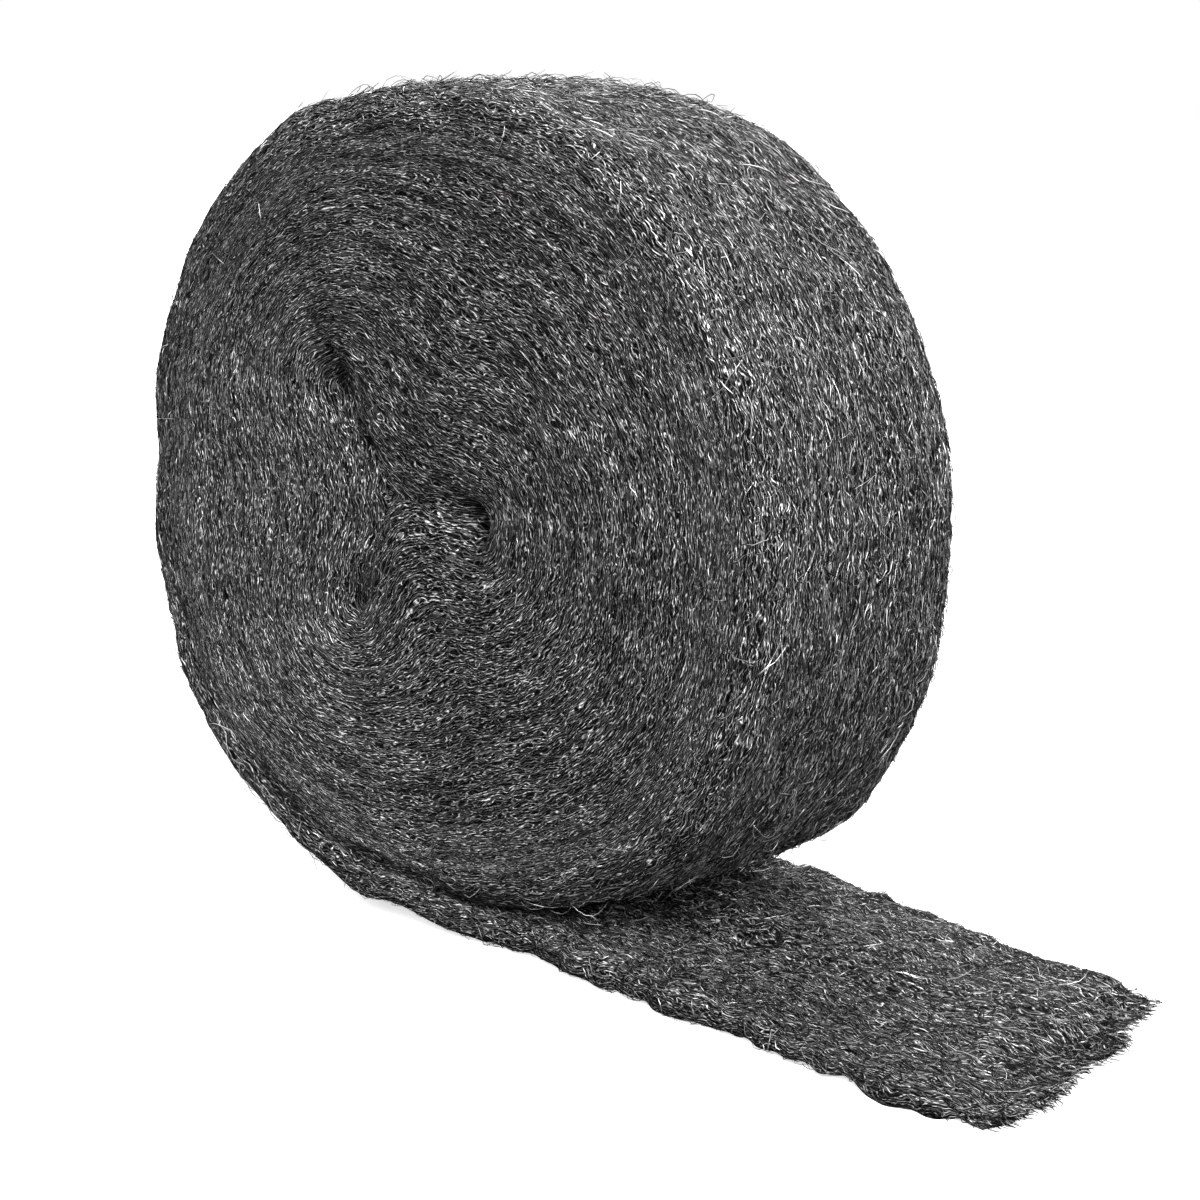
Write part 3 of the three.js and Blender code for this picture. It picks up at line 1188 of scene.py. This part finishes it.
    def walked(self, knots: Socket) -> Socket:
        """Walks the knots along the flow, so that knot number n has taken n steps, then lifts them."""
        draw = self.draw
        place = draw.node("GeometryNodeInputPosition").outputs[0]
        normal = draw.node("GeometryNodeInputNormal").outputs[0]
        near = self.sampled(place)
        out = self.sampled(normal)
        flow = self.sampled(self.named("flow", "FLOAT_VECTOR"))
        start = draw.node("GeometryNodeRepeatInput")
        end = draw.node("GeometryNodeRepeatOutput")
        start.pair_with_output(end)
        draw.feed(start.inputs["Iterations"], self.given["Steps"])
        draw.feed(start.inputs["Geometry"], knots)
        step = start.outputs["Iteration"]
        shake = self.random(-1.0, 1.0, self.named("strand", "INT"), step)
        curl = draw.math("MULTIPLY", self.either_way(Draw.CURL), self.given["Curl"])
        swerve = draw.math("MULTIPLY", self.either_way(Draw.SWERVE), self.given["Swerve"])
        turn = draw.math("ADD", swerve, draw.math("MULTIPLY", curl, step))
        turn = draw.math("ADD", turn, draw.math("MULTIPLY", shake, self.given["Jitter"]))
        heading = draw.node(
            "ShaderNodeVectorRotate", {"Vector": flow, "Axis": out, "Angle": turn}, rotation_type="AXIS_ANGLE"
        ).outputs[0]
        length = draw.math("MULTIPLY", self.given["Length"], self.chance(Draw.LENGTH, *self.LENGTH_RANGE))
        stride = draw.math("DIVIDE", length, self.given["Steps"])
        held = self.held(near, place)
        ahead = draw.vector("ADD", held, draw.vector("SCALE", heading, stride))
        moving = draw.node(
            "FunctionNodeCompare", {"A_INT": self.named("knot", "INT"), "B_INT": step},
            data_type="INT", operation="GREATER_THAN",
        ).outputs[0]
        moved = draw.node(
            "GeometryNodeSetPosition",
            {"Geometry": start.outputs["Geometry"], "Selection": moving, "Position": ahead},
        ).outputs[0]
        draw.feed(end.inputs["Geometry"], moved)
        lifted = draw.vector("ADD", held, draw.vector("SCALE", out, self.height()))
        lifted = draw.vector("MAXIMUM", lifted, self.LOWEST)
        return draw.node(
            "GeometryNodeSetPosition", {"Geometry": end.outputs["Geometry"], "Position": lifted}
        ).outputs[0]

    def held(self, near: Socket, place: Socket) -> Socket:
        """The point's place, drawn on to the surface as far as Hug says."""
        draw = self.draw
        pull = draw.vector("SCALE", draw.vector("SUBTRACT", near, place), self.given["Hug"])
        return draw.vector("ADD", place, pull)

    def share(self) -> Socket:
        """How far along its strand a knot is, from 0 to 1."""
        return self.draw.math("DIVIDE", self.named("knot", "INT"), self.given["Steps"])

    def height(self) -> Socket:
        """How far a knot stands off the surface: an arch for most strands, a free end for loose ones."""
        draw = self.draw
        arch = draw.math("SINE", draw.math("MULTIPLY", self.share(), math.pi))
        free = draw.math("MULTIPLY", self.share(), self.share())
        loose = draw.math("LESS_THAN", self.chance(Draw.LOOSE), self.given["Loose Share"])
        form = draw.blend(loose, arch, free)
        share = draw.math("POWER", self.chance(Draw.LIFT), self.LIFT_POWER)
        reach = draw.math("MULTIPLY", self.given["Lift"], share)
        down = draw.math("MULTIPLY", self.given["Sink"], draw.math("SUBTRACT", 1.0, form))
        return draw.math("SUBTRACT", draw.math("MULTIPLY", reach, form), down)

    def tubes(self, knots: Socket) -> Socket:
        """Joins each row of knots and gives it thickness, thinner towards its ends."""
        draw = self.draw
        strand, knot = self.named("strand", "INT"), self.named("knot", "INT")
        rows = draw.node(
            "GeometryNodePointsToCurves", {"Points": knots, "Curve Group ID": strand, "Weight": knot}
        ).outputs[0]
        off_middle = draw.math("SUBTRACT", draw.math("MULTIPLY", self.share(), 2.0), 1.0)
        lost = draw.math("MULTIPLY", draw.math("POWER", off_middle, 2.0), self.END_SLIMNESS)
        girth = draw.math("MULTIPLY", self.given["Width"], self.chance(Draw.GIRTH, *self.GIRTH_RANGE))
        girth = draw.math("MULTIPLY", girth, draw.math("SUBTRACT", 1.0, lost))
        ring = draw.node(
            "GeometryNodeCurvePrimitiveCircle", {"Resolution": self.SIDES, "Radius": 1.0}, mode="RADIUS"
        )
        # Each stretch of a strand gets its own tone as well as the strand's, so painted glints and shade come
        # and go along it.
        segment = draw.math("ADD", draw.math("MULTIPLY", strand, self.MOST_KNOTS), knot)
        tone = self.random(0.0, 1.0, segment, self.given["Seed"])
        toned = self.store(rows, "tone", draw.blend(self.TONE_CHANGE, self.chance(Draw.TONE), tone))
        return draw.node(
            "GeometryNodeCurveToMesh",
            {"Curve": toned, "Profile Curve": ring.outputs[0], "Scale": girth, "Fill Caps": True},
        ).outputs[0]

    def finished(self, tubes: Socket) -> None:
        """Ends the tree: plain geometry, and a material for each painted tone: lit, half lit and shaded."""
        draw = self.draw
        smooth = draw.node("GeometryNodeSetShadeSmooth", {0: tubes}).outputs[0]
        current = draw.node("GeometryNodeRealizeInstances", {0: smooth}).outputs[0]
        bright = self.given["Bright Share"]
        middle = draw.math("ADD", bright, self.given["Middle Share"])
        for limit, title in ((2.0, "Dark"), (middle, "Middle"), (bright, "Bright")):
            chosen = draw.node(
                "FunctionNodeCompare", {"A": self.named("tone"), "B": limit},
                data_type="FLOAT", operation="LESS_THAN",
            ).outputs[0]
            current = draw.node(
                "GeometryNodeSetMaterial",
                {"Geometry": current, "Selection": chosen, "Material": self.given[title]},
            ).outputs[0]
        draw.node("NodeGroupOutput", {0: current})


@dataclass(frozen=True)
class StrandCoat:
    """One coat of strands on one patch of a surface. Lengths are in millimetres, angles in radians.

    Attributes:
        name: the piece's name.
        patch: where it grows.
        density: strands to a square millimetre.
        length: middling length of a strand.
        width: thickness of a strand.
        swerve: how far a strand may start off the run of the fibre.
        curl: how much it may bend at each step.
        jitter: how much it may waver from step to step.
        lift: how far it may stand off the surface.
        sink: how deep its ends go in.
        hug: 1 follows the surface closely, 0 flies free.
        loose_share: how many strands have one end free.
        lit_share: how many strands are painted lit, as glints.
        half_lit_share: how many are painted half lit; the others are painted in shade.
        steps: steps in a strand.
        seed: picks the random draws.
    """

    name: str
    patch: Patch
    density: float
    length: float = 5.0
    width: float = 0.15
    swerve: float = 0.5
    curl: float = 0.2
    jitter: float = 0.35
    lift: float = 0.45
    sink: float = 0.12
    hug: float = 1.0
    loose_share: float = 0.2
    lit_share: float = 0.2
    half_lit_share: float = 0.3
    steps: int = 4
    seed: int = 1

    def grow(self, tree: StrandTree, surface: Object) -> Object:
        """Grows the coat on a surface.

        Args:
            tree: the Geometry Nodes.
            surface: the body it grows on, which stays as it is.

        Returns:
            The strands as a plain mesh object.
        """
        values = {
            "Density": self.density / MM**2,
            "Patch": float(self.patch.value),
            "Length": self.length * MM,
            "Width": self.width * MM,
            "Swerve": self.swerve,
            "Curl": self.curl,
            "Jitter": self.jitter,
            "Lift": self.lift * MM,
            "Sink": self.sink * MM,
            "Hug": self.hug,
            "Loose Share": self.loose_share,
            "Bright Share": self.lit_share,
            "Middle Share": self.half_lit_share,
            "Steps": self.steps,
            "Seed": self.seed,
            "Bright": Tone.BRIGHT.value.material(),
            "Middle": Tone.MIDDLE.value.material(),
            "Dark": Tone.DARK.value.material(),
        }
        coat = add_object(self.name, surface.data.copy())
        growing = coat.modifiers.new(StrandTree.NAME, "NODES")
        growing.node_group = tree.tree
        for name, value in values.items():
            growing[tree.socket_id(name)] = value
        bpy.context.view_layer.update()
        graph = bpy.context.evaluated_depsgraph_get()
        grown = bpy.data.meshes.new_from_object(coat.evaluated_get(graph))
        coat.modifiers.clear()
        coat.data = grown
        grown.name = self.name
        loose = [known.name for known in grown.attributes if not known.is_required and not known.is_internal]
        for title in set(loose) - set(KEPT_ATTRIBUTES):
            grown.attributes.remove(grown.attributes[title])
        return coat


@dataclass
class Roll:
    """The whole roll: its two bodies and the coats of strands on them."""

    turns: WoundTurns
    tail: LooseTail
    turn_coats: tuple[StrandCoat, ...]
    tail_coats: tuple[StrandCoat, ...]

    def build(self) -> list[Object]:
        """Builds and dresses every piece.

        Returns:
            The pieces, the two bodies first.
        """
        wound = self.turns.surface().to_object("wound_turns")
        loose = self.tail.surface().to_object("loose_tail")
        tree = StrandTree()
        matted = MattedSteel().material()
        for body in (wound, loose):
            body.data.materials.append(matted)
        coats = [coat.grow(tree, wound) for coat in self.turn_coats]
        coats += [coat.grow(tree, loose) for coat in self.tail_coats]
        pieces = [wound, loose, *coats]
        for piece in pieces:
            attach(piece, BODY)
            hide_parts(CAD_NODE)
            piece.data.calc_loop_triangles()
            log.info("%s: %d triangles", piece.name, len(piece.data.loop_triangles))
        return pieces


@dataclass(frozen=True)
class Lamp:
    """A soft lamp far off.

    Attributes:
        name: what it does.
        azimuth: the way to it, in degrees: 0 is the front, 90 is +X.
        height: how high it stands over the horizon, in degrees.
        strength: its light in watts to a square metre.
        spread: how wide it looks from the roll, in degrees.
    """

    name: str
    azimuth: float
    height: float
    strength: float
    spread: float = 50.0


@dataclass(frozen=True)
class Studio:
    """The pale floor, the soft lights and the camera.

    Attributes:
        eye: where the camera stands, in millimetres.
        aim: the point it looks at, in millimetres.
        roll: how far it is turned about its own axis, in degrees.
        lens: focal length in millimetres.
        sensor: width of the camera's sensor in millimetres.
        clip: nearest and furthest distance that the camera sees, in metres.
        floor_size: side of the floor in metres.
        floor_tone: how light its darkest and lightest spots are.
        floor_mottle: spots to a metre.
        floor_roughness: how dull it is.
        floor_glow: how much light it gives by itself.
        lamps: the lamps.
        surround: strength of the light from all round.
    """

    eye: Triple = (267.64, -354.64, 144.79)
    aim: Triple = (9.49, 3.63, 55.85)
    roll: float = 1.04
    lens: float = 73.9
    sensor: float = 36.0
    clip: Span = (0.01, 100.0)
    floor_size: float = 60.0
    floor_tone: Span = (0.9, 0.94)
    floor_mottle: float = 40.0
    floor_roughness: float = 0.9
    floor_glow: float = 0.6
    lamps: tuple[Lamp, ...] = (
        Lamp("key", 70.0, 48.0, 4.7),
        Lamp("front", 5.0, 45.0, 2.7),
        Lamp("low", 35.0, 10.0, 2.2),
        Lamp("side", 95.0, 15.0, 1.0),
        Lamp("back", 215.0, 25.0, 2.4),
    )
    surround: float = 0.12

    def set_up(self) -> None:
        """Builds the studio."""
        self.floor()
        self.lights()
        self.camera()

    def floor(self) -> None:
        """Lays the floor."""
        half = self.floor_size / 2
        corners = [(-half, -half, 0), (half, -half, 0), (half, half, 0), (-half, half, 0)]
        mesh = bpy.data.meshes.new("floor")
        mesh.from_pydata(corners, [], [(0, 1, 2, 3)])
        floor = add_object("floor", mesh)
        paper, shader = plain_material("white_paper")
        draw = Sketch(paper.node_tree)
        place = draw.node("ShaderNodeTexCoord").outputs["Object"]
        mottle = draw.node("ShaderNodeTexNoise", {"Vector": place, "Scale": self.floor_mottle}).outputs["Fac"]
        draw.feed(shader.inputs["Base Color"], draw.remap(mottle, target=self.floor_tone))
        shader.inputs["Roughness"].default_value = self.floor_roughness
        shader.inputs["Emission Color"].default_value = (1.0, 1.0, 1.0, 1.0)
        shader.inputs["Emission Strength"].default_value = self.floor_glow
        mesh.materials.append(paper)
        floor.visible_diffuse = False
        floor.visible_glossy = False

    def lights(self) -> None:
        """Hangs the soft lamps round the roll, in an even, pale surround."""
        for lamp in self.lamps:
            light = bpy.data.lights.new(lamp.name, "SUN")
            light.energy = lamp.strength
            light.angle = math.radians(lamp.spread)
            self.hang(light, self.toward(lamp.azimuth, lamp.height))
        world = bpy.data.worlds.new("surround")
        world.use_nodes = True
        draw = Sketch(world.node_tree)
        sky = world.node_tree.nodes["Background"]
        seen = draw.node("ShaderNodeLightPath").outputs["Is Camera Ray"]
        draw.feed(sky.inputs["Strength"], draw.blend(seen, self.surround, 1.0))
        sky.inputs["Color"].default_value = (1.0, 1.0, 1.0, 1.0)
        bpy.context.scene.world = world
        bpy.context.scene.view_settings.view_transform = "Standard"

    def toward(self, azimuth: float, height: float) -> Vector:
        """The direction at an azimuth and a height over the horizon, in degrees. Azimuth 0 is the front."""
        turn, rise = math.radians(azimuth), math.radians(height)
        return Vector((math.sin(turn) * math.cos(rise), -math.cos(turn) * math.cos(rise), math.sin(rise)))

    def hang(self, light: bpy.types.Light, away: Vector) -> None:
        """Makes a lamp that shines from a direction.

        Args:
            light: its light, whose name it takes.
            away: the direction from the roll to the lamp.
        """
        lamp = add_object(light.name, light)
        lamp.rotation_mode = "QUATERNION"
        lamp.rotation_quaternion = away.to_track_quat("Z", "Y")

    def camera(self) -> None:
        """Stands the camera at the roll's front right, a little above it."""
        eye, aim = Vector(self.eye), Vector(self.aim)
        backward = (eye - aim).normalized()
        level_right = Vector((0, 0, 1)).cross(backward).normalized()
        level_up = backward.cross(level_right)
        turn = math.radians(self.roll)
        right = math.cos(turn) * level_right + math.sin(turn) * level_up
        up = math.cos(turn) * level_up - math.sin(turn) * level_right
        placed = Matrix((right, up, backward)).transposed().to_4x4()
        placed.translation = eye * MM
        lens = bpy.data.cameras.new("camera")
        lens.lens = self.lens
        lens.sensor_width = self.sensor
        lens.clip_start, lens.clip_end = self.clip
        camera = add_object("camera", lens)
        camera.matrix_world = placed
        bpy.context.scene.camera = camera


def main() -> None:
    """Builds the roll and its studio."""
    logging.basicConfig(level=logging.INFO, format="%(name)s: %(message)s")
    roll = Roll(
        turns=WoundTurns(),
        tail=LooseTail(),
        turn_coats=(
            StrandCoat("front_face_strands", Patch.FRONT, density=0.62, seed=21, length=3.0, width=0.12,
                       steps=3, swerve=0.4, lit_share=0.2, half_lit_share=0.17),
            StrandCoat("tread_low_strands", Patch.TREAD, density=0.2, seed=31, length=3.6, width=0.12,
                       steps=3, swerve=0.5, curl=0.3, lit_share=0.24, half_lit_share=0.17),
            StrandCoat("tread_fine_strands", Patch.TREAD, density=0.2, seed=36, length=2.8, width=0.12,
                       steps=3, swerve=0.8, curl=0.4, lit_share=0.24, half_lit_share=0.13),
            StrandCoat("tread_high_strands", Patch.TREAD, density=0.17, seed=41, swerve=0.9, curl=0.4,
                       lift=1.4, hug=0.95, loose_share=0.7),
            StrandCoat("back_face_strands", Patch.BACK, density=0.28, seed=51),
            StrandCoat("tread_stray_strands", Patch.TREAD, density=0.04, seed=61, length=9.0, width=0.13,
                       steps=6, swerve=1.6, curl=0.5, lift=2.4, hug=0.8, loose_share=0.8, lit_share=0.3),
        ),
        tail_coats=(
            StrandCoat("tail_strands", Patch.TAIL, density=0.78, seed=71, length=3.2, width=0.14,
                       steps=3, swerve=1.4, curl=0.4, lift=0.9, lit_share=0.17, half_lit_share=0.17),
            StrandCoat("tail_stray_strands", Patch.TAIL, density=0.05, seed=81, length=8.0, width=0.13,
                       steps=6, swerve=1.8, curl=0.5, lift=1.6, hug=0.8, loose_share=0.8, lit_share=0.25),
            StrandCoat("torn_end_strands", Patch.TORN, density=2.2, seed=91, length=2.7, width=0.14,
                       swerve=1.5, curl=0.45, lift=0.8, hug=0.1, loose_share=0.6, lit_share=0.15,
                       half_lit_share=0.2),
        ),
    )
    roll.build()
    Studio().set_up()


if __name__ == "__main__":
    main()
